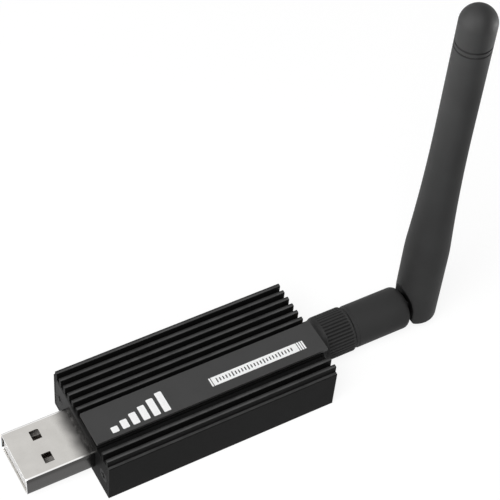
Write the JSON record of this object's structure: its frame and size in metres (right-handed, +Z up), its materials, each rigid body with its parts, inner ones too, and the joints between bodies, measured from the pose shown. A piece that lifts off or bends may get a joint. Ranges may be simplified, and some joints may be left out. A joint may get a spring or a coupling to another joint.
{
  "type": "smart home usb radio stick",
  "caption": "Finned black metal USB radio stick with a USB plug at one end and a screw-on antenna that swivels and folds at an elbow at the other.",
  "frame": {"origin": "centre of the housing's flat underside", "axes": "+X from the plug to the antenna, +Y across the fins to the far side, +Z up along the raised mast"},
  "size_m": [0.0989, 0.0254, 0.0896],
  "materials": {
    "black_aluminium": "black anodised, satin, bead blasted",
    "label_black": "satin plate with white print",
    "end_plate_black": "black anodised, satin",
    "black_steel": "blackened",
    "plug_steel": "bright rolled sheet",
    "plug_plastic": "white moulding",
    "gold_plating": "gold plated",
    "board_green": "solder resist over glass fibre",
    "board_blue": "solder resist over glass fibre",
    "tinned_steel": "tinned",
    "chip_black": "moulded epoxy",
    "capacitor_tan": "ceramic",
    "gold_brass": "gold plated",
    "core_plastic": "white insulator",
    "antenna_black": "fine moulded satin",
    "pin_black": "satin",
    "coax_brown": "extruded jacket",
    "radiator_brass": "drawn tube"
  },
  "bodies": {
    "stick": {"housing": "black_aluminium", "label_plate": "label_black", "usb_end_plate": "end_plate_black", "antenna_end_plate": "end_plate_black", "usb_end_screws": "black_steel", "antenna_end_screws": "black_steel", "usb_shell": "plug_steel", "usb_insulator": "plug_plastic", "usb_contacts": "gold_plating", "circuit_board": "board_green", "radio_module": "board_blue", "radio_shield": "tinned_steel", "usb_bridge_chip": "chip_black", "voltage_regulator": "chip_black", "crystal": "tinned_steel", "chip_capacitors": "capacitor_tan", "antenna_jack": "gold_brass", "jack_insulator": "core_plastic", "jack_centre_contact": "gold_brass", "jack_washer": "gold_brass", "jack_nut": "gold_brass", "ferrule": "gold_brass", "ferrule_insulator": "core_plastic", "ferrule_centre_pin": "gold_brass"},
    "mast": {"mast_sleeve": "antenna_black", "elbow_pin": "pin_black", "tip_cap": "antenna_black", "mast_coax": "coax_brown", "radiator_sleeve": "radiator_brass", "radiator_rod": "radiator_brass"},
    "swivel": {"swivel_base": "antenna_black"},
    "coupling": {"coupling_nut": "gold_brass", "knurled_sleeve": "antenna_black"}
  },
  "joints": [
    {"name": "coupling_spin", "type": "hinge", "parent": "stick", "child": "coupling", "pos_m": [0.032, 0, 0.00475], "axis": [1, 0, 0], "continuous": true},
    {"name": "antenna_swivel", "type": "hinge", "parent": "stick", "child": "swivel", "pos_m": [0.044, 0, 0.00475], "axis": [1, 0, 0], "continuous": true},
    {"name": "elbow", "type": "hinge", "parent": "swivel", "child": "mast", "pos_m": [0.0537, 0, 0.00475], "axis": [0, 1, 0], "range_deg": [0, 90]}
  ]
}
